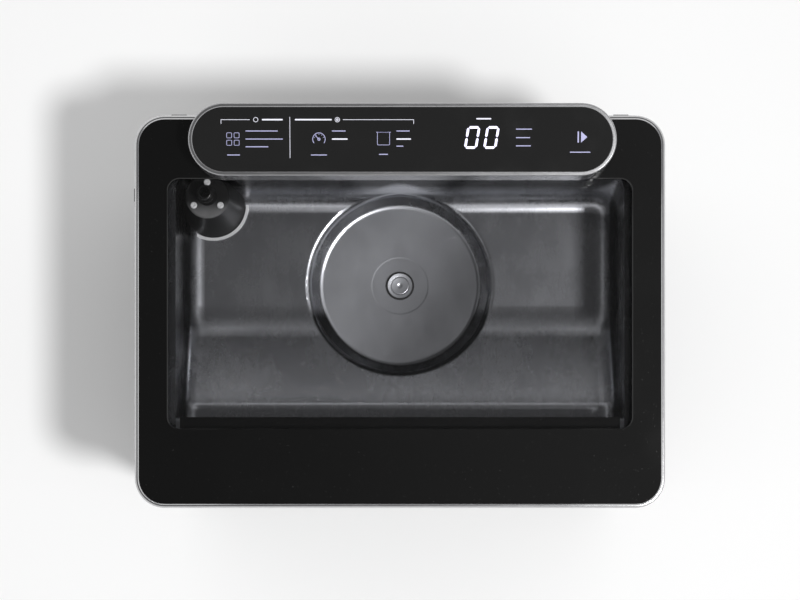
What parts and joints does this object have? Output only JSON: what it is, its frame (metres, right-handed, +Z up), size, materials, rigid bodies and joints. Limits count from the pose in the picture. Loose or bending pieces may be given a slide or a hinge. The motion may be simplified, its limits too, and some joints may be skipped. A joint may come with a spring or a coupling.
{
  "type": "vacuum chamber sealer",
  "caption": "Countertop vacuum chamber sealer with a hinged windowed lid, a raised touch control bar, a drawn steel chamber and a lifting seal bar.",
  "frame": {"origin": "on the table under the middle of the whole machine's outline", "axes": "+X to the user's right, +Y to the rear hinges, +Z up, with the front edge of the lid at -Y"},
  "size_m": [0.3546, 0.267, 0.2459],
  "materials": {
    "casing_steel": "satin black powder coat",
    "deck_black": "satin moulded",
    "tub_steel": "satin drawn stainless",
    "rubber_black": "matt",
    "screw_steel": "bright",
    "zinc_steel": "satin zinc",
    "port_black": "semi gloss",
    "polished_trim": "polished",
    "bar_black": "heat-proof laminate",
    "heater_metal": "plain",
    "tape_brown": "coated glass cloth",
    "lift_aluminium": "cast and machined",
    "contact_brass": "plain",
    "panel_plastic": "fine texture",
    "fan_black": "moulded",
    "motor_paint": "satin grey",
    "hose_clear": "milky silicone",
    "coil_plastic": "moulded",
    "board_green": "solder mask",
    "bracket_black": "satin",
    "lid_black": "high gloss",
    "window_clear": "clear polished",
    "bond_clear": "clear bead",
    "pad_silicone": "matt silicone",
    "panel_metal": "dark polished",
    "panel_glass": "dark hard-coated",
    "display_dark": "smoked"
  },
  "bodies": {
    "base": {"base_plate": "casing_steel", "rubber_feet": "rubber_black", "foot_screws": "screw_steel", "outer_casing": "casing_steel", "top_deck": "deck_black", "chamber_tub": "tub_steel", "lid_gasket": "rubber_black", "floor_plug": "tub_steel", "plug_ring": "rubber_black", "floor_brace": "zinc_steel", "suction_port": "port_black", "port_collar": "polished_trim", "suction_nozzle": "port_black", "port_screws": "screw_steel", "lift_cylinders": "lift_aluminium", "contact_pins": "contact_brass", "bar_guides": "tub_steel", "rear_panel": "panel_plastic", "fan_frame": "fan_black", "power_inlet": "panel_plastic", "inlet_pins": "contact_brass", "switch_housing": "panel_plastic", "pump_motor": "motor_paint", "pump_heads": "lift_aluminium", "pump_cradle": "zinc_steel", "pump_mounts": "rubber_black", "chamber_hose": "hose_clear", "pump_hoses": "hose_clear", "valve_block": "lift_aluminium", "solenoid_valves": "coil_plastic", "pressure_sensor": "coil_plastic", "transformer_ring": "coil_plastic", "transformer_clamp": "screw_steel", "power_board": "board_green", "board_parts": "coil_plastic", "hinge_brackets": "bracket_black", "hinge_bracket_screws": "screw_steel", "hinge_springs": "zinc_steel"},
    "lid": {"hinge_leaves": "zinc_steel", "hinge_pins": "zinc_steel", "lid_trim": "polished_trim", "lid_panel": "lid_black", "lid_window": "window_clear", "window_bond": "bond_clear", "strip_holder": "lid_black", "seal_pad": "pad_silicone", "panel_shell": "panel_metal", "panel_base": "lid_black", "panel_glass": "panel_glass", "control_board": "board_green", "display_module": "display_dark", "panel_screws": "screw_steel", "trim_clip": "panel_plastic"},
    "seal_bar": {"seal_bar_body": "bar_black", "heating_strip": "heater_metal", "release_tape": "tape_brown", "lift_pins": "zinc_steel"},
    "fan_rotor": {"fan_rotor": "fan_black"},
    "pump_rotor": {"pump_rotor": "zinc_steel"},
    "power_rocker": {"power_rocker": "panel_plastic"}
  },
  "joints": [
    {"name": "lid_hinge", "type": "hinge", "parent": "base", "child": "lid", "pos_m": [0, 0.1285, 0.1945], "axis": [-1, 0, 0], "range_deg": [0, 72]},
    {"name": "bar_lift", "type": "slide", "parent": "base", "child": "seal_bar", "axis": [0, 0, 1], "range_m": [0, 0.0052]},
    {"name": "fan_spin", "type": "hinge", "parent": "base", "child": "fan_rotor", "pos_m": [0, 0.1093, 0.068], "axis": [0, 1, 0], "continuous": true},
    {"name": "pump_spin", "type": "hinge", "parent": "base", "child": "pump_rotor", "pos_m": [0, -0.045, 0.062], "axis": [1, 0, 0], "continuous": true},
    {"name": "switch_rock", "type": "hinge", "parent": "base", "child": "power_rocker", "pos_m": [0.066, 0.1215, 0.086], "axis": [1, 0, 0], "range_deg": [0, 16]}
  ]
}
